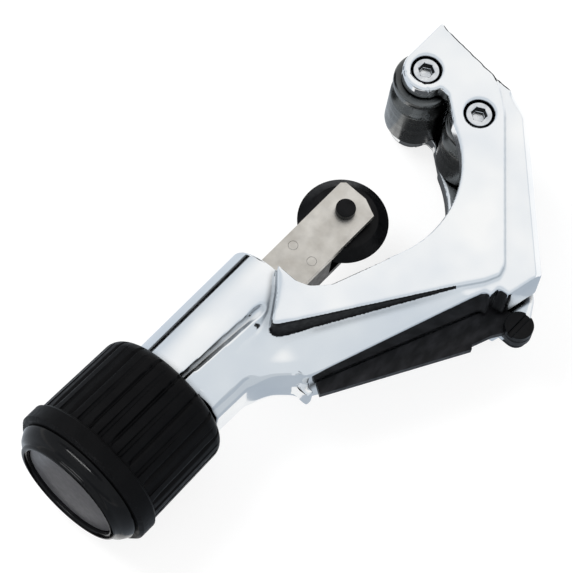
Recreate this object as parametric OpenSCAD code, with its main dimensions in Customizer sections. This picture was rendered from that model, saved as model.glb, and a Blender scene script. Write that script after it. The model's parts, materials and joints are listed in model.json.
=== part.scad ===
// Tube cutter with a C-shaped cast frame, two guide rollers, a fork-mounted cutting wheel,
// a knob-driven feed screw and a fold-away reamer. Millimetres.
// The feed axis is X, towards the rollers. X = 0 is the line through both roller axes,
// Z is the direction of the roller axes, and the frame's back is on the -Y side.

/* [Feed] */
// How far the carriage is moved from the modelled position, towards the rollers
feed = 0; // [-9:0.5:20]
// Lead of the feed screw, per turn
feed_lead = 3; // [2:0.5:4]
// How far the axis of the cutting wheel stands out of the barrel's mouth
wheel_out = 25.5; // [24:0.5:26]

/* [Barrel and bore] */
// Outer radius of the barrel
barrel_r = 12.5; // [12:0.1:13]
// Length of the barrel, from its mouth to its hidden end inside the knob
barrel_len = 48.5; // [48:0.5:50]
// Width of the square slideway inside the barrel
slideway_w = 12.1; // [12:0.1:12.6]
// Length of the slideway, from the mouth to its closed end
slideway_len = 41.5; // [41:0.5:42]
// Clearance on each side of the slide in its slideway
slide_play = 0.2; // [0.15:0.05:0.3]

/* [Frame] */
// Half of the thickness over the two cheeks
cheek_z = 16; // [15:0.5:17]
// Thickness of one cheek beside the rollers
cheek_t = 4.8; // [4:0.1:5]
// Distance from the roller line forward to the nose's upper corner
nose_top_x = 12.4; // [11:0.1:13]
// Distance from the roller line forward to the nose's lower corner
nose_low_x = 10.8; // [10:0.1:12]
// Height of the flat top of the head over the feed axis
head_top = 14.3; // [14:0.1:15]
// Radius of the cheek lobe around the upper roller
lobe_r = 5.8; // [5.5:0.1:6.2]
// Radius of the round throat, which sets the size of the whole C
throat_r = 27.7; // [25:0.1:31]
// Slope of the lower arm's inner edge, in degrees
arm_slope = 20; // [19:0.1:21]
// Half thickness of the arm where it leaves the barrel
arm_z = 8; // [7.4:0.1:9]
// Half thickness of the arm and spine at the heel
heel_z = 14.8; // [14:0.1:15.2]
// Width of the valley between the barrel and the web
valley_w = 1.6; // [1:0.1:2]
// Width of the bevel along the edges of the spine's back and of the web under the barrel
edge_cut = 3; // [2:0.1:3.6]

/* [Rollers] */
// Distance between the two roller axes
roller_gap = 17; // [16.5:0.1:18]
// Radius of a roller
roller_r = 7.5; // [7:0.1:7.8]
// Least radius in the roller's flare groove
groove_r = 5.2; // [4.5:0.1:6]
// Distance of the flare groove's deepest line from the wheel's plane
groove_z = 5.8; // [5:0.1:6.5]
// Half of the width of the flare groove at the roller's surface
groove_w = 2.8; // [2:0.1:3]
// Width of the bevel at both ends of a roller
roller_bevel = 0.6; // [0.3:0.1:1]
// Radius of the shoulder of a roller bolt
bolt_r = 2.5; // [2.2:0.1:3]
// Radius of the head of a roller bolt
bolt_head_r = 3.2; // [3:0.1:3.5]
// Height of the head of a roller bolt
bolt_head_h = 3.2; // [2.8:0.1:3.6]
// Depth of a bolt head's face below the cheek
bolt_sink = 0.6; // [0.3:0.1:1]
// Radius of the counterbore around a bolt head
counterbore_r = 3.8; // [3.6:0.1:4.1]
// Corner radius of the hexagon socket in a bolt head
socket_r = 2; // [1.6:0.1:2.3]
// Depth of the hexagon socket
socket_h = 2; // [1.5:0.1:2.4]

/* [Cutting wheel] */
// Radius of the wheel's cutting edge
wheel_r = 11.2; // [10:0.1:11.4]
// Radius at which the wheel's bevel begins
wheel_face_r = 8.4; // [7:0.1:9]
// Half thickness of the wheel's body
wheel_z = 2.4; // [2:0.1:2.6]
// Half length of the wheel's hub
wheel_hub_z = 3.3; // [3:0.1:3.5]
// Radius of the wheel's hub
wheel_hub_r = 4.6; // [4.2:0.1:5]
// Radius of the wheel pin
pin_r = 2; // [1.8:0.1:2.1]
// Radius of the wheel pin's head
pin_head_r = 2.45; // [2.4:0.05:3]
// Height of the wheel pin's head over the fork plate
pin_head_h = 2; // [1.5:0.1:2.2]
// Outer radius of the clip on the wheel pin's far end
clip_r = 3.6; // [3.2:0.1:4]
// Width of the clip's open side
clip_mouth = 2.8; // [2.4:0.1:3.2]

/* [Carriage] */
// Thickness of one fork plate
plate_t = 2; // [1.8:0.1:2.1]
// How far the fork plates reach past the wheel's axis
fork_nose = 5.9; // [5.5:0.1:6.2]
// Distance from the wheel's axis back to the ends of the fork plates
fork_back = 32; // [30:0.5:34]
// Distance from the wheel's axis back to the front of the slide block
block_front = 11.2; // [11:0.1:12]
// Distance from the wheel's axis back to the end of the slide block
block_back = 54.5; // [52:0.5:55]
// Distance from the wheel's axis back to the closed end of the block's thread
thread_front = 18.5; // [18:0.1:19]
// Distance from the wheel's axis back to the fork rivets
rivet_back = 15.5; // [15:0.1:16]
// Radius of a fork rivet
rivet_r = 1.2; // [1:0.1:1.4]
// Distance of each rivet from the feed axis
rivet_y = 3; // [2.6:0.1:3.4]

/* [Feed screw] */
// Radius of the feed screw over its thread
screw_r = 3; // [2.6:0.1:3.2]
// Distance from the barrel's mouth back to the screw's front end
screw_inset = 2.5; // [2:0.5:4]
// Radius of the screw's journal in the bush
journal_r = 3.5; // [3.4:0.1:3.8]
// Radius of the screw's thrust collar
thrust_r = 5; // [4.6:0.1:5.4]
// Length of the screw's thrust collar
thrust_h = 1.6; // [1.4:0.1:1.8]
// Radius of the bush in the barrel's end
bush_r = 7; // [6.5:0.1:7.5]
// Radius of a turning fit's bore over its shaft's
turn_play = 0.06; // [0.03:0.01:0.1]

/* [Knob] */
// Radius of the knob's grip at its collar
grip_r = 18.5; // [18:0.1:19]
// Radius of the knob's grip at its mouth
grip_mouth_r = 18; // [17.5:0.1:18.5]
// How far the knob's mouth reaches over the barrel
knob_over = 12.3; // [11:0.1:12.5]
// Length of the knob
knob_len = 35.3; // [34:0.1:37]
// Radius of the smooth collar
collar_r = 19.4; // [19:0.1:19.8]
// Length of the smooth collar
collar_len = 5.4; // [5:0.1:6]
// Radius of the end cap
cap_r = 17.6; // [17:0.1:18]
// How far the end cap stands out of the collar
cap_len = 4.8; // [4.4:0.1:5.2]
// Radius of the end cap's rim
cap_front_r = 15; // [14.7:0.1:15.4]
// Depth of the recess for the label disc
cap_recess_h = 2.2; // [1.8:0.1:2.6]
// Radius of the label disc
label_r = 13.2; // [12.5:0.1:13.5]
// Thickness of the label disc
label_t = 0.8; // [0.6:0.1:1]
// Number of grooves around the grip
groove_count = 18; // [14:1:22]
// Radius of a grip groove's round cut
grip_groove_r = 0.7; // [0.5:0.1:0.9]
// Radius of the rounded edge at the knob's mouth
mouth_round = 3.6; // [3:0.1:4]
// Radius of the cavity that the barrel's end turns in
cavity_r = 13.8; // [13.5:0.1:14.2]

/* [Reamer] */
// Radius of the heel's lug around the pivot
heel_r = 3.2; // [3:0.1:4]
// Thickness of the heel's lug behind the blade
lug_t = 2.6; // [2.4:0.1:4]
// Thickness of the blade
blade_t = 2; // [1.6:0.1:2.1]
// Radius of the blade's round root
blade_root_r = 3.6; // [3.4:0.1:4]
// Length from the pivot to the blade's tip, along the feed axis
blade_len = 45.4; // [43:0.1:46.4]
// Width of the blade's tip
blade_tip_h = 3.3; // [2.4:0.1:3.8]
// Swing of the blade out of its folded place, in degrees
blade_swing = 0; // [0:5:170]
// Radius of the pivot screw's head
pivot_head_r = 3.6; // [3.3:0.1:4]
// Height of the pivot screw's head
pivot_head_h = 2.1; // [1.8:0.1:2.6]
// Radius of the pivot screw's shank
pivot_r = 2.2; // [2:0.1:2.4]
// Width of the driver slot in the pivot screw's head
driver_slot_w = 1.4; // [1:0.1:1.6]
// Depth of the driver slot
driver_slot_h = 0.8; // [0.5:0.1:1]

/* [Hidden] */
$fn = 64;
over = 1;

// Smallest clear gap between pieces that move past each other
gap = 0.3;
// Flat gap at a turning face
face_gap = 0.15;

// The C's places follow its throat, and the barrel and knob follow its mouth
throat_back = 1.1264 * throat_r;
throat_up = 0.2491 * throat_r;
mouth_back = 2.2924 * throat_r;
pivot_back = 1.1155 * throat_r;
pivot_down = 1.7906 * throat_r;
wheel_back = mouth_back - wheel_out;
slideway_back = mouth_back + slideway_len;
screw_front = mouth_back + screw_inset;
barrel_back = mouth_back + barrel_len;
knob_front = barrel_back - knob_over;
knob_end = knob_front + knob_len;

roller_y = roller_gap / 2;
channel_z = cheek_z - cheek_t;
roller_z = channel_z - gap;
fork_w = slideway_w - 2 * slide_play;
slide_z = fork_w / 2;
fork_z = slide_z - plate_t;
wheel_x = feed - wheel_back;
bolt_face_z = cheek_z - bolt_sink;
bolt_seat_z = bolt_face_z - bolt_head_h;
thrust_back = slideway_back - face_gap;
// The knob's hub, driven by the screw's hexagon, and the parts that hold it
washer_h = 0.7;
hub_back = barrel_back + washer_h + 2 * face_gap;
hub_r = 8;
hub_recess = 11;
hub_end = knob_end - hub_recess;
drive_r = 3.4;
tapped_r = 1.6;
small_head_r = 3;
small_head_h = 2;
small_washer_r = 4.5;
small_washer_h = 0.5;
knob_screw_len = 9;

// The end cap is a shallow dome with a round bead at its rim, on a spigot in the grip
grip_back = knob_end - cap_len;
cap_bead_r = (cap_front_r - label_r) / 2;
cap_floor = knob_end - cap_recess_h;
cap_mid_r = cap_front_r + 0.6 * (cap_r - cap_front_r);
cap_mid_h = 0.45 * cap_len;
cap_side_h = 0.8 * cap_len;
spigot_r = 12;
spigot_h = 2.4;
edge_break = 0.4;

// The arm's underside is a straight line from the reamer's tip to the heel
under_x = -2.7617 * throat_r;
under_y = -0.8231 * throat_r;
under_fall = 0.402;
tip_x = -pivot_back - blade_len;
nub_w = 2.2;
nub_h = 1;
nub_z = 3;

// The web leaves the barrel's flank at this height and side, and ends under the cheek plate
flank_y = -0.16 * throat_r;
flank_z = sqrt(barrel_r * barrel_r - flank_y * flank_y);
web_end = 2.57 * throat_r;
valley_slope = 3.6;

// The bevels of the back's two edges differ by this much, so that they don't meet in one point
bevel_step = 0.15;
mitre = 0.15 * edge_cut;

// The blade lies in a slot between the heel's seat, at Z = 0, and the near wall
slot_z = blade_t + 2 * gap;
pivot_washer_r = 3.6;
pivot_washer_z = blade_t + 2 * face_gap;
pivot_washer_h = 0.4;
pivot_end_h = 0.6;
pivot_depth = lug_t + pivot_end_h;

// Where the tangent of the throat leaves its circle
tangent_x = -throat_back - throat_r * sin(arm_slope);
tangent_y = throat_up - throat_r * cos(arm_slope);

// Outlines, as shares of the throat's radius, from the roller line and the feed axis
notch_share = [-0.0542, 0.0108];
throat_top_share = [-0.231, -0.2094];
mouth_shares = [[-2.1119, -0.4513], [-2.2455, -0.3321]];
plate_end_shares = [[-2.4657, -0.148], [-2.7401, -0.3321], [-2.7094, -0.3773]];
slit_end_share = [-1.3718, -1.2455];
heel_shares = [[-1.1805, -1.3791], [-1.0505, -1.4368], [-0.9422, -1.4043]];
spine_shares = [[0.1733, -0.4513], [0.3285, -0.2527]];
web_shares = [[-3.5018, -0.5018], [-3.1877, -0.509], [-2.9603, -0.6137], [-2.8231, -0.7473]];
back_shares = [[-0.7798, -1.7112], [0.3213, -0.6137], [0.4079, -0.3791]];
inner_shares = [[0.1083, -0.1805], [-0.4693, -0.8664], [-1.1913, -1.083], [-2.4188, -0.3249]];
lug_shares = [[-1.13, -1.4982], [-1.1155, -1.6065], [-0.7401, -1.6895]];
back = throat_r * back_shares;
rim = throat_r * web_shares;

// Height of the arm's underside at a place along X
function under(x) = under_y - under_fall * (x - under_x);

// Half thickness of the core goes from the arm's to the heel's
taper_start = -2.744 * throat_r;
taper_end = -1.372 * throat_r;

module along_x(from) {
  translate([from, 0, 0]) rotate([0, 90, 0]) children();
}

module at_roller(side) {
  translate([0, side * roller_y, 0]) children();
}

module at_knob_turn() {
  rotate([360 * feed / feed_lead, 0, 0]) children();
}

module at_pivot() {
  translate([-pivot_back, -pivot_down, 0]) children();
}

module centred_prism(half) {
  translate([0, 0, -half]) linear_extrude(2 * half) children();
}

module throat() {
  intersection() {
    translate([-throat_back, throat_up]) circle(r = throat_r);
    translate([-3 * throat_r, throat_r * (throat_top_share[1] - 2)]) square([3 * throat_r, 2 * throat_r]);
  }
  polygon([
    [tangent_x, tangent_y],
    throat_r * mouth_shares[0],
    throat_r * mouth_shares[1],
    [-mouth_back, -slideway_w / 2],
    [-mouth_back, throat_r],
    [-throat_back, throat_r],
    [-throat_back, throat_up]
  ]);
}

module cheek_outline() {
  difference() {
    union() {
      translate([0, roller_y]) circle(r = lobe_r);
      polygon(concat(
        [[nose_top_x, head_top], [0, head_top], throat_r * notch_share, throat_r * throat_top_share],
        [[-throat_back, throat_up - throat_r / 2], [-mouth_back, 0]],
        throat_r * plate_end_shares,
        [throat_r * slit_end_share],
        throat_r * heel_shares,
        throat_r * spine_shares,
        [[nose_low_x, -roller_y / 2]]
      ));
    }
    throat();
  }
}

module core_outline() {
  polygon(concat(
    [[-knob_front + face_gap * 4, 0], [-knob_front + face_gap * 4, rim[0][1]]],
    rim,
    [[under_x, under_y]],
    [[-pivot_back - heel_r, under(-pivot_back - heel_r)], [-pivot_back - heel_r, -pivot_down]],
    [[-pivot_back, -pivot_down - heel_r]],
    back,
    [[nose_low_x, -roller_y / 2]],
    throat_r * inner_shares
  ));
  translate([-pivot_back, -pivot_down]) circle(r = heel_r);
}

// Cuts a bevel along the two edges of a wall from p to q, at half thickness half, and past its ends
module edge_bevels(p, q, half, before, after) {
  run = q - p;
  for (side = [-1, 1]) translate([p[0], p[1], side * half]) rotate([0, 0, atan2(run[1], run[0])])
    rotate([45, 0, 0]) translate([-before, -edge_cut / 2, -edge_cut / 2])
      cube([norm(run) + before + after, edge_cut, edge_cut]);
}

// The web's sides fall away from the barrel's flank to the rim
module web_wedge() {
  along_x(-knob_front + face_gap * 4) linear_extrude(knob_front - web_end - face_gap * 4) polygon([
    [flank_z, flank_y],
    [arm_z, rim[0][1]],
    [-arm_z, rim[0][1]],
    [-flank_z, flank_y],
    [-flank_z, 0],
    [flank_z, 0]
  ]);
}

module valleys() {
  for (side = [-1, 1]) translate([-knob_front, flank_y / 2, side * flank_z]) rotate([0, 0, -valley_slope])
    rotate([45, 0, 0]) translate([-over, -valley_w / 2, -valley_w / 2])
      cube([knob_front - web_end, valley_w, valley_w]);
}

// The lug is only as thick as lug_t, so both sides of the heel are cut back to it
module heel_cut() {
  polygon(concat(
    [[-2 * pivot_back, throat_r * lug_shares[0][1]]],
    throat_r * lug_shares,
    [[0, throat_r * lug_shares[2][1]], [0, -3 * throat_r], [-2 * pivot_back, -3 * throat_r]]
  ));
}

module core_taper() {
  translate([0, throat_r, 0]) rotate([90, 0, 0]) linear_extrude(4 * throat_r) polygon([
    [-knob_end, -arm_z],
    [taper_start, -arm_z],
    [taper_end, -heel_z],
    [throat_r, -heel_z],
    [throat_r, heel_z],
    [taper_end, heel_z],
    [taper_start, arm_z],
    [-knob_end, arm_z]
  ]);
}

module roller_channel() {
  for (side = [-1, 1]) translate([0, side * roller_y]) circle(r = roller_r + 2 * gap);
  translate([0, -roller_y]) square([roller_r + 2 * gap, roller_gap]);
  translate([-throat_r, -roller_y]) square([throat_r, 2 * throat_r]);
  intersection() {
    translate([-throat_back, throat_up]) circle(r = throat_r + cheek_t);
    translate([-throat_back, -throat_r]) square([throat_back, 2 * throat_r]);
  }
}

module frame() {
  color("gainsboro") difference() {
    union() {
      along_x(-barrel_back) cylinder(r = barrel_r, h = barrel_back - mouth_back);
      intersection() {
        centred_prism(cheek_z) core_outline();
        core_taper();
      }
      web_wedge();
      centred_prism(cheek_z) cheek_outline();
      translate([tip_x - 2 * gap - nub_w, under(tip_x) - blade_tip_h + nub_h, -nub_z])
        cube([nub_w, throat_r / 2 + under_y - under(tip_x), 2 * nub_z]);
    }
    centred_prism(channel_z) roller_channel();
    translate([-slideway_back, -slideway_w / 2, -slideway_w / 2])
      cube([slideway_back - mouth_back + throat_r / 2, slideway_w, slideway_w]);
    along_x(-barrel_back - over) cylinder(r = bush_r, h = barrel_back - slideway_back + 2 * over);
    for (side = [-1, 1]) at_roller(side) {
      translate([0, 0, -cheek_z - over]) cylinder(r = bolt_r, h = 2 * (cheek_z + over));
      translate([0, 0, bolt_seat_z]) cylinder(r = counterbore_r, h = cheek_z);
    }
    linear_extrude(slot_z) polygon([
      [-2 * pivot_back, under(-2 * pivot_back)],
      [0, under(0)],
      [0, -3 * throat_r],
      [-2 * pivot_back, -3 * throat_r]
    ]);
    linear_extrude(cheek_z + over) heel_cut();
    translate([0, 0, -cheek_z - over]) linear_extrude(cheek_z + over - lug_t) heel_cut();
    valleys();
    edge_bevels(back[0], back[1], heel_z + bevel_step, edge_cut, edge_cut);
    edge_bevels(back[1], back[2], heel_z, edge_cut, 0);
    edge_bevels(rim[0], rim[1], arm_z, edge_cut, mitre);
    for (i = [1 : len(rim) - 2]) edge_bevels(rim[i], rim[i + 1], arm_z, mitre, mitre);
    at_pivot() {
      cylinder(r = pivot_head_r + gap, h = cheek_z + over);
      translate([0, 0, -pivot_depth]) cylinder(r = pivot_r, h = cheek_z);
    }
  }
}

module roller(side) {
  color("dimgray") at_roller(side) difference() {
    rotate_extrude() polygon([
      [0, -roller_z],
      [roller_r - roller_bevel, -roller_z],
      [roller_r, roller_bevel - roller_z],
      [roller_r, groove_z - groove_w],
      [groove_r, groove_z],
      [roller_r, groove_z + groove_w],
      [roller_r, roller_z - roller_bevel],
      [roller_r - roller_bevel, roller_z],
      [0, roller_z]
    ]);
    translate([0, 0, -roller_z - over]) cylinder(r = bolt_r + turn_play, h = 2 * (roller_z + over));
  }
}

module roller_upper() { roller(1); }

module roller_lower() { roller(-1); }

module roller_bolt(side) {
  color("silver") at_roller(side) difference() {
    union() {
      translate([0, 0, edge_break - cheek_z]) cylinder(r = bolt_r, h = cheek_z + bolt_seat_z);
      translate([0, 0, bolt_seat_z]) cylinder(r = bolt_head_r, h = bolt_head_h);
    }
    translate([0, 0, bolt_face_z - socket_h]) cylinder(r = socket_r, h = socket_h + over, $fn = 6);
  }
}

module roller_bolt_upper() { roller_bolt(1); }

module roller_bolt_lower() { roller_bolt(-1); }

module slide_block() {
  color("lightgray") difference() {
    union() {
      translate([wheel_x - block_back, -fork_w / 2, -slide_z])
        cube([block_back - fork_back, fork_w, 2 * slide_z]);
      translate([wheel_x - block_back, -fork_w / 2, -fork_z])
        cube([block_back - block_front, fork_w, 2 * fork_z]);
    }
    along_x(wheel_x - block_back - over)
      cylinder(r = screw_r + turn_play, h = block_back - thread_front + over);
    rivet_holes();
  }
}

module rivet_holes() {
  for (side = [-1, 1]) translate([wheel_x - rivet_back, side * rivet_y, -slide_z - over])
    cylinder(r = rivet_r, h = 2 * (slide_z + over));
}

module fork_plate(side) {
  half = fork_w / 2;
  color("silver") difference() {
    translate([wheel_x, 0, side > 0 ? fork_z : -slide_z]) linear_extrude(plate_t) polygon([
      [-fork_back, -half],
      [fork_nose - plate_t, -half],
      [fork_nose, -half / 4],
      [fork_nose, half - plate_t / 2],
      [fork_nose - plate_t / 2, half],
      [-fork_back, half]
    ]);
    translate([wheel_x, 0, -slide_z - over]) cylinder(r = pin_r, h = 2 * (slide_z + over));
    rivet_holes();
  }
}

module fork_plate_near() { fork_plate(1); }

module fork_plate_far() { fork_plate(-1); }

module fork_rivets() {
  color("lightgray") for (side = [-1, 1]) translate([wheel_x - rivet_back, side * rivet_y, -slide_z])
    cylinder(r = rivet_r, h = 2 * slide_z);
}

module cutting_wheel() {
  color("#202022") translate([wheel_x, 0, 0]) difference() {
    union() {
      rotate_extrude() polygon([
        [0, -wheel_z],
        [wheel_face_r, -wheel_z],
        [wheel_r, 0],
        [wheel_face_r, wheel_z],
        [0, wheel_z]
      ]);
      translate([0, 0, -wheel_hub_z]) cylinder(r = wheel_hub_r, h = 2 * wheel_hub_z);
    }
    translate([0, 0, -wheel_hub_z - over]) cylinder(r = pin_r + turn_play, h = 2 * (wheel_hub_z + over));
  }
}

module wheel_pin() {
  color("#2a2a2c") translate([wheel_x, 0, 0]) {
    translate([0, 0, -slide_z - pin_head_h]) cylinder(r = pin_r, h = 2 * slide_z + pin_head_h);
    translate([0, 0, slide_z]) cylinder(r = pin_head_r, h = pin_head_h);
  }
}

module wheel_pin_clip() {
  color("#3a3a3c") translate([wheel_x, 0, -slide_z - washer_h]) difference() {
    cylinder(r = clip_r, h = washer_h);
    translate([0, 0, -over]) cylinder(r = pin_r, h = washer_h + 2 * over);
    translate([0, -clip_mouth / 2, -over]) cube([clip_r, clip_mouth, washer_h + 2 * over]);
  }
}

module feed_screw() {
  color("darkgray") at_knob_turn() difference() {
    union() {
      along_x(-thrust_back) cylinder(r = screw_r, h = thrust_back - screw_front);
      along_x(-thrust_back) cylinder(r = thrust_r, h = thrust_h);
      along_x(-hub_back) cylinder(r = journal_r, h = hub_back - thrust_back);
      along_x(-hub_end) cylinder(r = drive_r, h = hub_end - hub_back, $fn = 6);
    }
    along_x(-hub_end - over) cylinder(r = tapped_r, h = knob_screw_len + 2 * over);
  }
}

module barrel_bush() {
  color("#b08d57") difference() {
    along_x(-barrel_back) cylinder(r = bush_r, h = barrel_back - slideway_back);
    along_x(-barrel_back - over)
      cylinder(r = journal_r + turn_play, h = barrel_back - slideway_back + 2 * over);
  }
}

module thrust_washer() {
  color("silver") difference() {
    along_x(-barrel_back - face_gap - washer_h) cylinder(r = hub_r, h = washer_h);
    along_x(-barrel_back - washer_h - over) cylinder(r = journal_r, h = washer_h + 2 * over);
  }
}

module knob_grip() {
  color("#2b2b2d") at_knob_turn() difference() {
    union() {
      along_x(-grip_back) cylinder(r = grip_r - mouth_round, h = grip_back - knob_front);
      along_x(-grip_back + collar_len)
        cylinder(r1 = grip_r, r2 = grip_mouth_r, h = grip_back - collar_len - knob_front - mouth_round);
      along_x(-knob_front - mouth_round) rotate_extrude() translate([grip_mouth_r - mouth_round, 0])
        intersection() {
          circle(r = mouth_round);
          square(mouth_round);
        }
      along_x(-grip_back) rotate_extrude() polygon([
        [0, 0],
        [collar_r - 2 * edge_break, 0],
        [collar_r, 2 * edge_break],
        [collar_r, collar_len - 2 * edge_break],
        [collar_r - 2 * edge_break, collar_len],
        [0, collar_len]
      ]);
    }
    for (turn = [0 : groove_count - 1]) rotate([turn * 360 / groove_count, 0, 0])
      translate([0, 0, grip_r]) along_x(-grip_back + collar_len)
        cylinder(r = grip_groove_r, h = grip_back - collar_len - knob_front + over);
    along_x(-hub_back) cylinder(r = cavity_r, h = hub_back - knob_front + over);
    along_x(-hub_end - over) cylinder(r = drive_r, h = hub_end - hub_back + 2 * over, $fn = 6);
    along_x(-grip_back - over) cylinder(r = hub_r, h = grip_back - hub_end + over);
    along_x(-grip_back - over) cylinder(r = spigot_r, h = spigot_h + over);
  }
}

module knob_end_cap() {
  color("#161618") {
    along_x(-knob_end) rotate_extrude() polygon([
      [0, cap_recess_h],
      [label_r, cap_recess_h],
      [label_r, cap_bead_r],
      [cap_front_r, cap_bead_r],
      [cap_mid_r, cap_mid_h],
      [cap_r, cap_side_h],
      [cap_r, cap_len],
      [0, cap_len]
    ]);
    along_x(cap_bead_r - knob_end)
      rotate_extrude() translate([label_r + cap_bead_r, 0]) circle(r = cap_bead_r);
    along_x(-grip_back) cylinder(r = spigot_r, h = spigot_h);
  }
}

module knob_label_disc() {
  color("#4a4a4c") along_x(-cap_floor - label_t) cylinder(r = label_r - face_gap, h = label_t);
}

module knob_screw() {
  color("silver") {
    along_x(-hub_end) cylinder(r = tapped_r, h = knob_screw_len);
    along_x(-hub_end - small_washer_h - small_head_h) cylinder(r = small_head_r, h = small_head_h);
    along_x(-hub_end - small_washer_h) cylinder(r = tapped_r, h = small_washer_h);
  }
}

module knob_screw_washer() {
  color("silver") difference() {
    along_x(-hub_end - small_washer_h) cylinder(r = small_washer_r, h = small_washer_h);
    along_x(-hub_end - small_washer_h - over) cylinder(r = tapped_r, h = small_washer_h + 2 * over);
  }
}

// The blade's neck and shoulder are shares of its root's radius, from the pivot, folded under the arm
shoulder_x = 0.25 * blade_root_r;
neck_shares = [[-3.22, 1.28], [-2.97, 1.5], [-1.56, 0.97], [0, 0], [1, 0]];

module reamer_blade() {
  color("#242426") at_pivot() rotate([0, 0, blade_swing]) translate([0, 0, face_gap]) difference() {
    linear_extrude(blade_t) {
      circle(r = blade_root_r);
      polygon(concat(
        [[-blade_len + blade_tip_h / 2, pivot_down + under(tip_x + blade_tip_h / 2) - gap]],
        [[-blade_len, pivot_down + under(tip_x) - gap - blade_tip_h]],
        blade_root_r * neck_shares,
        [[shoulder_x, pivot_down + under(shoulder_x - pivot_back) - gap]]
      ));
    }
    translate([0, 0, -over]) cylinder(r = pivot_r + turn_play, h = blade_t + 2 * over);
  }
}

module reamer_screw() {
  color("#1c1c1e") at_pivot() difference() {
    union() {
      translate([0, 0, -pivot_depth])
        cylinder(r = pivot_r, h = pivot_depth + pivot_washer_z + pivot_washer_h);
      translate([0, 0, pivot_washer_z + pivot_washer_h]) cylinder(r = pivot_head_r, h = pivot_head_h);
    }
    translate([
      -2 * pivot_head_r,
      -driver_slot_w / 2,
      pivot_washer_z + pivot_washer_h + pivot_head_h - driver_slot_h
    ])
      cube([4 * pivot_head_r, driver_slot_w, driver_slot_h + over]);
  }
}

module reamer_washer() {
  color("#3a3a3c") at_pivot() translate([0, 0, pivot_washer_z]) difference() {
    cylinder(r = pivot_washer_r, h = pivot_washer_h);
    translate([0, 0, -over]) cylinder(r = pivot_r, h = pivot_washer_h + 2 * over);
  }
}

frame();
roller_upper();
roller_lower();
roller_bolt_upper();
roller_bolt_lower();
slide_block();
fork_plate_near();
fork_plate_far();
fork_rivets();
cutting_wheel();
wheel_pin();
wheel_pin_clip();
feed_screw();
barrel_bush();
thrust_washer();
knob_grip();
knob_end_cap();
knob_label_disc();
knob_screw();
knob_screw_washer();
reamer_blade();
reamer_screw();
reamer_washer();
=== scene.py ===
import json
import math
from collections import namedtuple

import bmesh
import bpy
from mathutils import Matrix, Vector

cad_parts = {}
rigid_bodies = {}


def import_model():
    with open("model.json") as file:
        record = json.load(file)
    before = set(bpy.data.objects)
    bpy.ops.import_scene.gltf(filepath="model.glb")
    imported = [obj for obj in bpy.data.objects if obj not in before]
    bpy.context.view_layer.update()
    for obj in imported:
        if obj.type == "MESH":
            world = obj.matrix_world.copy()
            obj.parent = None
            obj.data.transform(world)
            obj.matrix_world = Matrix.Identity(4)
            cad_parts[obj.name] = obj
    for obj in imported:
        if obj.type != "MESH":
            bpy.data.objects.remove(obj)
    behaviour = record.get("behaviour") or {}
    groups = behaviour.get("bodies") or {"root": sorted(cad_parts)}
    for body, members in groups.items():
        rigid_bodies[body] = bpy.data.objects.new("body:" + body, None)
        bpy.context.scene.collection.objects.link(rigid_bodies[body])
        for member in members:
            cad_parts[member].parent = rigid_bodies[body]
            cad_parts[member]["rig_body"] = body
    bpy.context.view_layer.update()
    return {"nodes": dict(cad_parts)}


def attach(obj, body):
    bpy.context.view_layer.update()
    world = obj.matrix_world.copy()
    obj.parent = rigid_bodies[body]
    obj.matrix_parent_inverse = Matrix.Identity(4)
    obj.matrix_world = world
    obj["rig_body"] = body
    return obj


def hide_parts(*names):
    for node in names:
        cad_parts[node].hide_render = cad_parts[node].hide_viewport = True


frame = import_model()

nodes = frame["nodes"]
mm = 0.001

# The camera, from the photograph: angles in degrees, places in mm
AZIMUTH = -58.4
ELEVATION = 66
ROLL = 11.36
DISTANCE = 800
SENSOR = 36
PIXELS = 573
PIXELS_PER_MM = 4.06
ORIGIN_ACROSS = 39.01
ORIGIN_UP = 40.9

# The tool's own sizes, in mm, as they follow from its source
BARREL_R = 12.5
BARREL_ENDS = (-113, -64)
SLIDEWAY_HALF = 6.05
SLIDEWAY_CORNER = 1.3
SLIDEWAY_ENDS = (-104.3, -61)
THROAT_R = 27.7
THROAT_AT = (-31.2, 6.9)
THROAT_ENDS = (-17, 17)
ROLLER_Y = 8.5
ROLLER_FACE_Z = 13.8
CHANNEL_Z = 11.2
CHANNEL_R = 8.9
CHANNEL_BACK = -8.4
COUNTERBORE_R = 3.8
SOCKET_R = 2.25
SOCKET_TOP = 15.2
PIVOT_AT = (-30.9, -49.6)
BOSS_R = 4.6
SLOT_Z = 2.7
GRIP_R = 18.3
COLLAR_FRONT = -124.6
GROOVES = 18
GROOVE_HALF = 0.65
GROOVE_DEPTH = 0.65

# The wall under the cheek's lower edge that is painted black as shade: its ends in X and Y, its top and its
# greatest depth in mm, how far off its line it reaches, how it rounds off before its start, and the steepest
# normal that it takes
SLIT = ((-72.6, -11.3), (-38.2, -33.8))
SLIT_TOP = 14.3
SLIT_DEPTH = 6.2
SLIT_REACH = 2.2
SLIT_OVERRUN = 0.13
SLIT_ROUNDING = 14
SLIT_TILT = 0.66

# How the casting's skin is made: voxel in mm, rounds of smoothing, share of the triangles that is kept
CASTING_VOXEL = 0.3
CASTING_ROUNDS = 26
CASTING_SHARE = 0.34

# Where the casting is worn rounder: rounds of smoothing, centre and reach in mm
WORN_CREASE = [(30, (-95 + 6 * step, -9 + 0.5 * step, 9), 6) for step in range(5)]
WORN_CORNER = [(70, (-70, -3, 12), 7), (120, (-77, -15, 8), 10)]
WORN_NOSE = [
    (50, (12, 10, 15.5), 3), (50, (11.5, 5.5, 15.5), 3), (50, (11, 1, 15.5), 3), (50, (10.5, -3, 15.5), 3),
    (90, (11.5, -10, 10), 6), (90, (8, -14, 12), 5),
]

# Edges that bend more than this many degrees are broken, and stay sharp in the shading
EDGE_ANGLE = 32
GRIP_EDGE_ANGLE = 25
CAP_EDGE_ANGLE = 50


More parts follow.
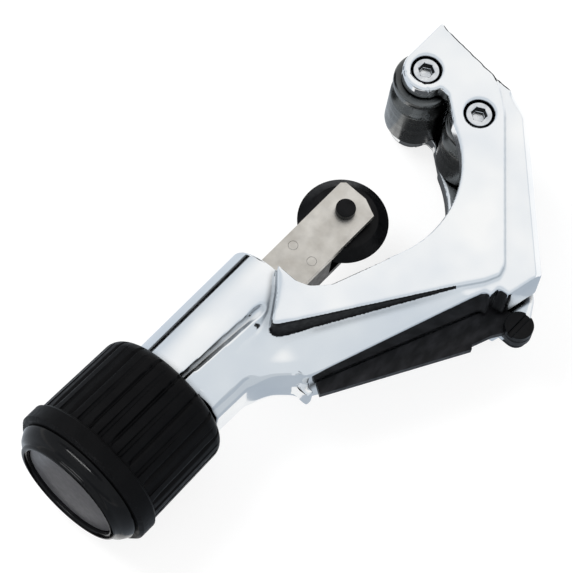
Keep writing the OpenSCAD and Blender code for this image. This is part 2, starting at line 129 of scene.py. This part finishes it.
def linear(code):
    """The linear colour of an sRGB hex code."""
    parts = [int(code[i:i + 2], 16) / 255 for i in (1, 3, 5)]
    return tuple(c / 12.92 if c <= 0.04045 else ((c + 0.055) / 1.055) ** 2.4 for c in parts) + (1.0,)


def add(tree, kind, values=None, links=None, **settings):
    """A new shader node with its settings, its sockets' values and its links."""
    made = tree.nodes.new(kind)
    for key, value in settings.items():
        setattr(made, key, value)
    for key, value in (values or {}).items():
        made.inputs[key].default_value = value
    for key, source in (links or {}).items():
        tree.links.new(source, made.inputs[key])
    return made


Grain = namedtuple("Grain", "size detail centre", defaults=(2, (0, 0, 0)))
EVEN = (0.3, 0.7)


def noise(tree, grain):
    """Noise whose features are as large as the grain says, in mm: in all directions, or along X, Y and Z."""
    size = grain.size if isinstance(grain.size, tuple) else (grain.size,) * 3
    coords = add(tree, "ShaderNodeTexCoord")
    mapped = add(
        tree, "ShaderNodeMapping",
        {"Location": [mm * c for c in grain.centre], "Scale": [mm * c for c in size]},
        {"Vector": coords.outputs["Object"]}, vector_type="TEXTURE",
    )
    links = {"Vector": mapped.outputs["Vector"]}
    return add(tree, "ShaderNodeTexNoise", {"Scale": 1, "Detail": grain.detail}, links).outputs["Fac"]


def finish(name, colour, rough, bumps, recess=None, ends=EVEN, **values):
    """A material whose colour and roughness follow grains, raised by grains of these heights in mm.

    The colour goes from dark to light between the ends of its noise. A recess adds painted shade: it is a
    depth in mm, and the shares of open sky at which the colour is near black and clear. The other values are
    the shader's own sockets.
    """
    made = bpy.data.materials.new(name)
    made.use_nodes = True
    tree = made.node_tree
    tree.nodes.clear()
    sockets = {key.replace("_", " "): value for key, value in values.items()}
    shader = add(tree, "ShaderNodeBsdfPrincipled", sockets)
    add(tree, "ShaderNodeOutputMaterial", links={"Surface": shader.outputs["BSDF"]})

    grain, dark, light = colour
    ramp = add(tree, "ShaderNodeValToRGB", links={"Fac": noise(tree, grain)})
    for index, code in enumerate((dark, light)):
        ramp.color_ramp.elements[index].position = ends[index]
        ramp.color_ramp.elements[index].color = linear(code)
    tone = ramp.outputs["Color"]
    # Painted shade: where the ambient occlusion finds little open sky, the colour is mixed towards near black
    if recess:
        depth, shut, clear = recess
        sky = add(tree, "ShaderNodeAmbientOcclusion", {"Distance": depth * mm}, samples=12).outputs["AO"]
        open_to_sky = add(tree, "ShaderNodeMapRange", {"From Min": shut, "From Max": clear}, {"Value": sky})
        # Sockets 0, 6, 7 and 2 are the factor, the two colours and the mixed colour
        links = {0: open_to_sky.outputs["Result"], 7: tone}
        tone = add(tree, "ShaderNodeMix", {6: linear("#050506")}, links, data_type="RGBA").outputs[2]
    tree.links.new(tone, shader.inputs["Base Color"])

    grain, low, high = rough
    dull = add(
        tree, "ShaderNodeMapRange", {"From Min": EVEN[0], "From Max": EVEN[1], "To Min": low, "To Max": high},
        {"Value": noise(tree, grain)},
    )
    tree.links.new(dull.outputs["Result"], shader.inputs["Roughness"])

    below = {}
    for grain, height in bumps:
        links = {"Height": noise(tree, grain), **below}
        raised = add(tree, "ShaderNodeBump", {"Strength": 1, "Distance": height * mm}, links)
        below = {"Normal": raised.outputs["Normal"]}
    tree.links.new(below["Normal"], shader.inputs["Normal"])
    return made


# Chromium over a polished die casting: a mirror, with the casting's slow waves in what it shows. The creases
# and
# slits get painted shade: the colour goes to near black where little open sky reaches them
chrome = finish(
    "chrome_plated_zinc", (Grain(16), "#E6EAEE", "#F6F7F7"), (Grain(5, 4), 0.07, 0.13),
    [(Grain(13, 1), 0.03)], recess=(3.2, 0.5, 0.88), Metallic=1,
)

# Painted shade: a dull near black that stands in for the shade in the casting's channel, holes, slot and slit,
# and in the bolt sockets
painted_shade_black = finish(
    "painted_shade_black_in_recesses", (Grain(1.5, 4), "#020203", "#09090B"), (Grain(1, 3), 0.42, 0.6),
    [(Grain(0.8, 3), 0.03)], Metallic=0, Specular_IOR_Level=0.12,
)

# Stamped steel, tumbled and nickel plated: a warm satin grey with cloudy patches. The tumbling marks are
# about 0.2 mm, drawn at 0.5 mm so that they show
nickel = finish(
    "tumbled_nickel_steel", (Grain(4.5, 5), "#BDB8B0", "#DCD8D1"), (Grain(2, 3), 0.3, 0.46),
    [(Grain(5), 0.03), (Grain(0.5), 0.006)], Metallic=1,
)

# Hardened steel, blackened in a hot salt bath and oiled: a soft black sheen with paler worn spots
black_oxide = finish(
    "black_oxide_steel", (Grain(3, 5), "#030304", "#0D0D0F"), (Grain(1.2, 3), 0.28, 0.45),
    [(Grain(0.7, 3), 0.01)], ends=(0.35, 0.75), Metallic=0, Specular_IOR_Level=0.14,
)

# Ground blade stock, blackened: mottled dark grey where the grinding thins the black
blade_black = finish(
    "blued_blade_steel", (Grain((5, 2, 2), 6), "#060608", "#242427"), (Grain(1.5, 3), 0.3, 0.5),
    [(Grain((6, 0.5, 0.5)), 0.01)], ends=(0.4, 0.75), Metallic=0, Specular_IOR_Level=0.2,
)

# Cold-headed steel, zinc plated: a cool bright grey, a little cloudy
zinc = finish(
    "bright_zinc_plate", (Grain(1.6, 4), "#C3C7CC", "#E4E6E8"), (Grain(0.9, 3), 0.14, 0.28),
    [(Grain(0.8), 0.004)], Metallic=1,
)

# Plain steel, turned and thread rolled: grey, with fine rings round the feed axis
steel = finish(
    "turned_steel", (Grain((0.4, 9, 9)), "#8E8F90", "#B5B6B6"), (Grain(2), 0.25, 0.38),
    [(Grain((0.4, 9, 9)), 0.006)], Metallic=1,
)

# Pressed and sintered bronze: dull yellow brown, with fine open pores
bronze = finish(
    "sintered_bronze", (Grain(0.6, 4), "#7B5A30", "#B98A4C"), (Grain(0.6), 0.4, 0.55),
    [(Grain(0.5), 0.02)], Metallic=1,
)

# ABS moulded in a lightly etched tool: a deep black with a soft sheen on the ribs. The etched grain is about
# 0.1 mm, drawn at 0.35 mm so that it shows
satin_black = finish(
    "satin_moulded_abs", (Grain(4, 3), "#040405", "#080809"), (Grain(1.5, 3), 0.36, 0.5),
    [(Grain(0.35), 0.012)], Metallic=0, IOR=1.53, Specular_IOR_Level=0.07,
)

# ABS moulded in a polished tool: a gloss black that shows long clear highlights
gloss_black = finish(
    "polished_moulded_abs", (Grain(6), "#060607", "#0C0C0D"), (Grain(2, 3), 0.1, 0.18),
    [(Grain(6, 1), 0.01)], Metallic=0, IOR=1.53, Specular_IOR_Level=0.15,
)

# A plain lacquered foil disc: dark grey with a metal sheen
foil = finish(
    "satin_grey_foil", (Grain(9), "#5C5C60", "#666669"), (Grain(1.5, 3), 0.36, 0.48),
    [(Grain(0.5), 0.004)], Metallic=0.35,
)


def ground_roller_steel(name, side):
    """Hardened steel, ground on its axis: fine rings round a satin dark grey, with painted shade where little
    open sky reaches.
    """
    rings = Grain((12, 12, 0.45), 3, (0, side * ROLLER_Y, 0))
    return finish(
        name, (rings, "#5C5D5C", "#7A7B7A"), (Grain(2, 3), 0.22, 0.34), [(rings, 0.01)],
        recess=(3.5, 0.35, 0.85), Metallic=1,
    )


def merged(node):
    """A copy of a CAD node's mesh with its loose triangles joined."""
    shape = bmesh.new()
    shape.from_mesh(nodes[node].data)
    bmesh.ops.remove_doubles(shape, verts=shape.verts, dist=1e-6)
    bmesh.ops.recalc_face_normals(shape, faces=shape.faces)
    return shape


def piece(name, shape, material, node, sharp=None):
    """The shape as a piece that stands for a CAD node and moves with its body."""
    mesh = bpy.data.meshes.new(name)
    shape.to_mesh(mesh)
    shape.free()
    made = bpy.data.objects.new(name, mesh)
    bpy.context.scene.collection.objects.link(made)
    mesh.polygons.foreach_set("use_smooth", [True] * len(mesh.polygons))
    if sharp:
        mesh.set_sharp_from_angle(angle=math.radians(sharp))
    mesh.materials.append(material)
    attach(made, nodes[node]["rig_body"])
    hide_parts(node)
    return made


def paint(made, material, inside):
    """Gives a second material to the faces whose centre, in mm, and normal pass the test."""
    made.data.materials.append(material)
    index = len(made.data.materials) - 1
    for face in made.data.polygons:
        if inside(face.center / mm, face.normal):
            face.material_index = index


def dressed(name, node, material, edge, segments=2, limit=EDGE_ANGLE):
    """A CAD node with its flats made whole and its edges broken by this many mm."""
    shape = merged(node)
    bmesh.ops.dissolve_limit(
        shape, angle_limit=math.radians(0.2), use_dissolve_boundaries=False,
        verts=shape.verts, edges=shape.edges,
    )
    made = piece(name, shape, material, node, sharp=limit)
    bevel = made.modifiers.new("broken edges", "BEVEL")
    bevel.width = edge * mm
    bevel.segments = segments
    bevel.limit_method = "ANGLE"
    bevel.angle_limit = math.radians(limit)
    bevel.harden_normals = True
    bevel.miter_outer = "MITER_ARC"
    return made


def baked(made):
    """Takes the modifiers into the mesh."""
    bpy.context.view_layer.update()
    seen = made.evaluated_get(bpy.context.evaluated_depsgraph_get())
    mesh = bpy.data.meshes.new_from_object(seen)
    made.modifiers.clear()
    made.data = mesh
    mesh.polygons.foreach_set("use_smooth", [True] * len(mesh.polygons))
    return made


def in_channel(p):
    """The walls of the channel that the rollers run in."""
    near = min(math.hypot(p.x, p.y - ROLLER_Y), math.hypot(p.x, p.y + ROLLER_Y))
    return abs(p.z) < CHANNEL_Z - 0.2 and near < CHANNEL_R and p.x > CHANNEL_BACK


def in_socket(p):
    """The bolt holes and the bottoms of their counterbores."""
    near = min(math.hypot(p.x, p.y - ROLLER_Y), math.hypot(p.x, p.y + ROLLER_Y))
    return near < COUNTERBORE_R + 0.1 and p.z < ROLLER_FACE_Z


def at_boss(p):
    """The boss that the reamer turns on, with the slot beside it."""
    return math.hypot(p.x - PIVOT_AT[0], p.y - PIVOT_AT[1]) < BOSS_R and p.z < SLOT_Z


def on_slit_wall(p, n):
    """The cheek's wall under its straight lower edge, painted black as shade: black at the top, and less deep
    towards its far end.
    """
    if abs(n.z) > SLIT_TILT:
        return False
    start, end = map(Vector, SLIT)
    along = (Vector((p.x, p.y)) - start).dot(end - start) / (end - start).length_squared
    off = (Vector((p.x, p.y)) - start - along * (end - start)).length
    reach = SLIT_REACH + SLIT_ROUNDING * min(0, along)
    return -SLIT_OVERRUN < along < 1 and off < reach and abs(p.z) > SLIT_TOP - SLIT_DEPTH * (1 - along)


def even_flats(made, keep_sharp=False):
    """Lets the large faces lead the shading, so that flats look flat."""
    even = made.modifiers.new("flat flats", "WEIGHTED_NORMAL")
    even.weight = 60
    even.keep_sharp = keep_sharp


def cast(name, node, material, voxel, rounds):
    """A CAD node as a casting or moulding: every edge and corner rounded."""
    made = piece(name, merged(node), material, node)
    remesh = made.modifiers.new("skin", "REMESH")
    remesh.mode = "VOXEL"
    remesh.voxel_size = voxel * mm
    soften = made.modifiers.new("soft edges", "SMOOTH")
    soften.factor = 0.5
    soften.iterations = rounds
    return baked(made)


def thin(made, share):
    """Leaves this share of the triangles, most of them where the surface bends, and keeps the flats flat."""
    fewer = made.modifiers.new("fewer faces", "DECIMATE")
    fewer.ratio = share
    baked(made)
    made.vertex_groups.clear()
    even_flats(made)


def ease(made, places):
    """Smooths the casting further at some places on both cheeks, fading over the last quarter of a reach."""
    for rounds, (x, y, z), reach in places:
        group = made.vertex_groups.new(name="eased")
        for vert in made.data.vertices:
            off = math.hypot(vert.co.x - x * mm, vert.co.y - y * mm, abs(vert.co.z) - z * mm) / (reach * mm)
            if off < 1:
                group.add([vert.index], min(1, 4 * (1 - off)), "REPLACE")
        soften = made.modifiers.new("eased", "SMOOTH")
        soften.factor = 0.5
        soften.iterations = rounds
        soften.vertex_group = group.name


def true_up(made, axis, centre, radius, low, high, near=0.15, far=0.4):
    """Puts what lies near a round wall exactly on it, fading out from near to far. Sizes in mm."""
    one, two = [i for i in range(3) if i != axis]
    for vert in made.data.vertices:
        spot = vert.co
        if not low * mm < spot[axis] < high * mm:
            continue
        a, b = spot[one] - centre[0] * mm, spot[two] - centre[1] * mm
        out = math.hypot(a, b)
        off = abs(out - radius * mm) / mm
        if off < far:
            share = min(1, (far - off) / (far - near))
            factor = 1 + share * (radius * mm / out - 1)
            spot[one], spot[two] = centre[0] * mm + a * factor, centre[1] * mm + b * factor


def square_up(made, half, corner, low, high):
    """Puts what the smoothing drew into a square bore back on its walls and into its corners. Sizes in mm."""
    wall = half * mm
    for vert in made.data.vertices:
        spot = vert.co
        wide, tall = abs(spot.y), abs(spot.z)
        if not low * mm < spot.x < high * mm or max(wide, tall) > wall + 0.1 * corner * mm:
            continue
        if wide > tall or min(wide, tall) > wall - corner * mm:
            spot.y = math.copysign(wall, spot.y)
        if tall >= wide or min(wide, tall) > wall - corner * mm:
            spot.z = math.copysign(wall, spot.z)


def groove_ribs(made):
    """Cuts the fine grooves that run along the grip's ribs, halfway between its deep ones."""
    baked(made)
    shape = bmesh.new()
    shape.from_mesh(made.data)
    half = GROOVE_HALF / GRIP_R
    floor = half / 3
    pitch = 2 * math.pi / GROOVES
    for step in range(GROOVES // 2):
        for off in (-half, -floor, floor, half):
            turn = step * pitch + off
            bmesh.ops.bisect_plane(
                shape, geom=shape.verts[:] + shape.edges[:] + shape.faces[:], dist=1e-7,
                plane_co=(0, 0, 0), plane_no=(0, -math.sin(turn), math.cos(turn)),
            )
    # Only the grip's own outside sinks: not its bore, its inner faces or the collar
    for vert in shape.verts:
        out = math.hypot(vert.co.y, vert.co.z)
        in_groove = abs(math.remainder(math.atan2(vert.co.z, vert.co.y), pitch)) < 1.05 * floor
        on_grip = (GRIP_R - 1.4) * mm < out < (GRIP_R + 0.4) * mm and vert.co.x > (COLLAR_FRONT - 0.02) * mm
        if in_groove and on_grip:
            factor = 1 - GROOVE_DEPTH * mm / out
            vert.co.y, vert.co.z = vert.co.y * factor, vert.co.z * factor
    shape.to_mesh(made.data)
    shape.free()
    made.data.set_sharp_from_angle(angle=math.radians(GRIP_EDGE_ANGLE))
    even_flats(made, keep_sharp=True)


# Frame
casting = cast("frame_casting", "frame", chrome, CASTING_VOXEL, CASTING_ROUNDS)
ease(casting, WORN_CREASE + WORN_CORNER + WORN_NOSE)
thin(casting, CASTING_SHARE)
true_up(casting, 0, (0, 0), BARREL_R, *BARREL_ENDS)
true_up(casting, 2, THROAT_AT, THROAT_R, *THROAT_ENDS)
square_up(casting, SLIDEWAY_HALF, SLIDEWAY_CORNER, *SLIDEWAY_ENDS)
# Painted shade: the roller channel, the bolt holes, the boss and slot, and the wall under the cheek's lower
# edge take the near black
paint(casting, painted_shade_black, lambda p, n: in_channel(p) or in_socket(p) or at_boss(p) or on_slit_wall(p, n))

# Rollers and their bolts
for side, place in ((1, "upper"), (-1, "lower")):
    roller_steel = ground_roller_steel("ground_roller_steel_" + place, side)
    dressed("roller_" + place + "_ground", "roller_" + place, roller_steel, 0.25)
    bolt = dressed("roller_bolt_" + place + "_plated", "roller_bolt_" + place, zinc, 0.2)
    # Painted shade: the walls of the bolt's socket take the near black
    paint(bolt, painted_shade_black, lambda p, n: (
        math.hypot(p.x, p.y - side * ROLLER_Y) < SOCKET_R and p.z < SOCKET_TOP and n.z < 0.99
    ))

# Carriage
dressed("slide_block_milled", "slide_block", black_oxide, 0.3)
dressed("fork_plate_near_stamped", "fork_plate_near", nickel, 0.25)
far_plate = dressed("fork_plate_far_stamped", "fork_plate_far", nickel, 0.25)
# Painted shade: the far plate's faces that don't point down take the black oxide steel, for the shade between
# the plates
paint(far_plate, black_oxide, lambda p, n: n.z > -0.5)
dressed("fork_rivets_peened", "fork_rivets", nickel, 0.15)

# Cutting wheel
dressed("cutting_wheel_ground", "cutting_wheel", black_oxide, 0.08)
dressed("wheel_pin_turned", "wheel_pin", black_oxide, 0.35, 3)
dressed("wheel_pin_clip_stamped", "wheel_pin_clip", black_oxide, 0.1)

# Feed
dressed("feed_screw_rolled", "feed_screw", steel, 0.15)
dressed("barrel_bush_sintered", "barrel_bush", bronze, 0.15)
dressed("thrust_washer_plated", "thrust_washer", zinc, 0.15)

# Knob
groove_ribs(dressed("knob_grip_moulded", "knob_grip", satin_black, 0.2, limit=GRIP_EDGE_ANGLE))
dressed("knob_end_cap_moulded", "knob_end_cap", gloss_black, 0.25, 3, CAP_EDGE_ANGLE)
dressed("knob_label_disc_bare", "knob_label_disc", foil, 0.15)
dressed("knob_screw_plated", "knob_screw", zinc, 0.15)
dressed("knob_screw_washer_plated", "knob_screw_washer", zinc, 0.1)

# Reamer
dressed("reamer_blade_ground", "reamer_blade", blade_black, 0.08)
dressed("reamer_screw_blackened", "reamer_screw", black_oxide, 0.25, 3)
dressed("reamer_washer_blackened", "reamer_washer", black_oxide, 0.1)

# Camera
azimuth, elevation, roll = map(math.radians, (AZIMUTH, ELEVATION, ROLL))
back = Vector((
    math.sin(azimuth) * math.cos(elevation), -math.cos(azimuth) * math.cos(elevation), math.sin(elevation),
))
level = Vector((0, 0, 1)).cross(back).normalized()
upright = back.cross(level)
across = level * math.cos(roll) + upright * math.sin(roll)
up = upright * math.cos(roll) - level * math.sin(roll)
lens = bpy.data.cameras.new("camera")
lens.sensor_width = SENSOR
lens.lens = PIXELS_PER_MM * DISTANCE / PIXELS * SENSOR
lens.clip_end = 20
camera = bpy.data.objects.new("camera", lens)
bpy.context.scene.collection.objects.link(camera)
camera.rotation_mode = "QUATERNION"
camera.location = (back * DISTANCE - across * ORIGIN_ACROSS - up * ORIGIN_UP) * mm
camera.rotation_quaternion = Matrix((across, up, back)).transposed().to_quaternion()
bpy.context.scene.camera = camera

# Floor: the tool lies on the knob's collar and the nose of its far cheek. Places in mm, the radius in metres
COLLAR_R = 19.45
COLLAR_X = -127
NOSE_Z = -16.05
NOSE_X = 12
FLOOR_RADIUS = 3


def lit_floor():
    """A white sweep: plain white to the camera and to the metal, apart from the tool's soft shadow."""
    made = bpy.data.materials.new("white_sweep")
    made.use_nodes = True
    tree = made.node_tree
    tree.nodes.clear()
    path = add(tree, "ShaderNodeLightPath")
    seen = path.outputs["Is Camera Ray"]
    for ray in ("Is Glossy Ray", "Is Transmission Ray"):
        links = {0: seen, 1: path.outputs[ray]}
        seen = add(tree, "ShaderNodeMath", links=links, operation="MAXIMUM").outputs[0]
    plain = add(tree, "ShaderNodeBsdfDiffuse", {"Color": linear("#E8E8E8")})
    # The shadow's grey and the glow add up to white, so that only the soft shadow shows
    shadow = add(tree, "ShaderNodeBsdfDiffuse", {"Color": linear("#8C8C8C")})
    glow = add(tree, "ShaderNodeEmission", {"Color": (1, 1, 1, 1), "Strength": 0.78})
    both = add(tree, "ShaderNodeAddShader", links={0: shadow.outputs[0], 1: glow.outputs[0]})
    mixed = add(tree, "ShaderNodeMixShader", links={0: seen, 1: plain.outputs[0], 2: both.outputs[0]})
    clear = add(tree, "ShaderNodeBsdfTransparent")
    behind = add(tree, "ShaderNodeNewGeometry").outputs["Backfacing"]
    under = add(tree, "ShaderNodeMixShader", links={0: behind, 1: mixed.outputs[0], 2: clear.outputs[0]})
    add(tree, "ShaderNodeOutputMaterial", links={"Surface": under.outputs[0]})
    return made


def stage(name, shape, material, place):
    """A piece of the stage."""
    bmesh.ops.transform(shape, matrix=place, verts=shape.verts)
    mesh = bpy.data.meshes.new(name)
    shape.to_mesh(mesh)
    shape.free()
    mesh.materials.append(material)
    made = bpy.data.objects.new(name, mesh)
    bpy.context.scene.collection.objects.link(made)
    return made


fall = math.atan2(NOSE_Z + COLLAR_R, NOSE_X - COLLAR_X)
floor_place = Matrix.Translation((COLLAR_X * mm, 0, -COLLAR_R * mm)) @ Matrix.Rotation(-fall, 4, "Y")
disc = bmesh.new()
bmesh.ops.create_circle(disc, cap_ends=True, cap_tris=False, segments=96, radius=FLOOR_RADIUS)
stage("floor", disc, lit_floor(), floor_place)

BLACK_CARD = "#020203"

# Cards round the tool: the black ones draw the thin dark lines in the chrome, the grey and pale ones shade
# its low sides, and the bright strip is the streak in the knob's cap. Two corners in mm, colour and strength
CARDS = (
    ("flag_barrel_low", (-90, 112, -19), (-15, 113, -12), BLACK_CARD, 1),
    ("flag_barrel_middle", (-90, 112, -12), (-15, 113, -5), "#626466", 1),
    ("flag_barrel_high", (-90, 112, -5), (-15, 113, 15), BLACK_CARD, 1),
    ("flag_nose", (58, -9, -19), (59, 20, 32), BLACK_CARD, 1),
    ("flag_under_rollers", (-30, -24, -16.2), (-2, 8, -16.1), "#545659", 1),
    ("flag_lobe", (-34, 44, 2), (-4, 45, 30), BLACK_CARD, 1),
    ("flag_knob_floor", (-420, -90, -19.2), (-138, 160, -19.1), BLACK_CARD, 1),
    ("card_spine_side", (-300, -260, -15), (200, -258, 100), "#C6CDD4", 1),
    ("card_spine_floor", (-300, -420, -16.3), (5, -20, -16.2), "#B4BDC7", 1),
    ("card_barrel_floor", (-300, 13, -16.3), (5, 200, -16.2), "#D5DDE6", 1),
    ("strip_knob_cap", (-162, -12, 46), (-158, 28, 48), "#FFFFFF", 18),
    ("card_before_strip", (-149, -30, 38), (-148, 45, 60), "#8A9098", 1),
    ("card_knob_side", (-420, -260, -15), (-418, 200, 50), "#A6AFB8", 1),
)


def card(name, low, high, colour, strength):
    """A card that only the gloss sees."""
    made = bpy.data.materials.new(name)
    made.use_nodes = True
    tree = made.node_tree
    tree.nodes.clear()
    glow = add(tree, "ShaderNodeEmission", {"Color": linear(colour), "Strength": strength})
    add(tree, "ShaderNodeOutputMaterial", links={"Surface": glow.outputs[0]})
    shape = bmesh.new()
    bmesh.ops.create_cube(shape, size=1)
    middle, span = (Vector(low) + Vector(high)) / 2 * mm, (Vector(high) - Vector(low)) * mm
    hidden = stage(name, shape, made, Matrix.Translation(middle) @ Matrix.Diagonal((*span, 1)))
    for ray in ("visible_camera", "visible_diffuse", "visible_transmission", "visible_shadow"):
        setattr(hidden, ray, False)


for values in CARDS:
    card(*values)


# The gloss's sky: where it is brightest, and its colours at these shares of the way there
SKY_LEAN = (0.75, 0.3, 0.6)
SKY_COLOURS = ((0.64, "#DCE2E8"), (0.86, "#FFFFFF"))
SKY_LIGHT = 0.62


def studio_sky():
    """Even light on the tool; the gloss sees a pale sky that is brightest where the soft light hangs."""
    world = bpy.data.worlds.new("studio")
    world.use_nodes = True
    tree = world.node_tree
    tree.nodes.clear()
    path = add(tree, "ShaderNodeLightPath").outputs
    coords = add(tree, "ShaderNodeTexCoord")
    lean = add(
        tree, "ShaderNodeVectorMath", {1: Vector(SKY_LEAN).normalized()}, {0: coords.outputs["Generated"]},
        operation="DOT_PRODUCT",
    )
    sky = add(tree, "ShaderNodeValToRGB", links={"Fac": lean.outputs["Value"]})
    for index, (place, code) in enumerate(SKY_COLOURS):
        sky.color_ramp.elements[index].position = place
        sky.color_ramp.elements[index].color = linear(code)
    even = add(tree, "ShaderNodeBackground", {"Color": (1, 1, 1, 1), "Strength": SKY_LIGHT})
    glossy = add(tree, "ShaderNodeBackground", {"Strength": 1}, {"Color": sky.outputs["Color"]})
    white = add(tree, "ShaderNodeBackground", {"Color": (1, 1, 1, 1), "Strength": 1})
    links = {0: path["Is Glossy Ray"], 1: even.outputs[0], 2: glossy.outputs[0]}
    lit = add(tree, "ShaderNodeMixShader", links=links)
    links = {0: path["Is Camera Ray"], 1: path["Is Transmission Ray"]}
    seen = add(tree, "ShaderNodeMath", links=links, operation="MAXIMUM")
    links = {0: seen.outputs[0], 1: lit.outputs[0], 2: white.outputs[0]}
    final = add(tree, "ShaderNodeMixShader", links=links)
    add(tree, "ShaderNodeOutputWorld", links={"Surface": final.outputs[0]})
    bpy.context.scene.world = world


studio_sky()

# What the soft boxes point at, in metres
TOOL_MIDDLE = (-0.06, 0, 0)


def soft_light(name, place, size, power):
    """A square soft box that points at the tool. Places and sizes in metres."""
    lamp = bpy.data.lights.new(name, "AREA")
    lamp.shape = "SQUARE"
    lamp.size = size
    lamp.energy = power
    made = bpy.data.objects.new(name, lamp)
    bpy.context.scene.collection.objects.link(made)
    made.location = place
    made.rotation_mode = "QUATERNION"
    made.rotation_quaternion = (Vector(TOOL_MIDDLE) - Vector(place)).to_track_quat("-Z", "Y")
    made.visible_glossy = False


soft_light("key", (-0.2, 0.7, 0.9), size=0.6, power=9)
soft_light("fill", (-0.6, -0.6, 0.7), size=0.8, power=4)

bpy.context.scene.view_settings.view_transform = "Standard"
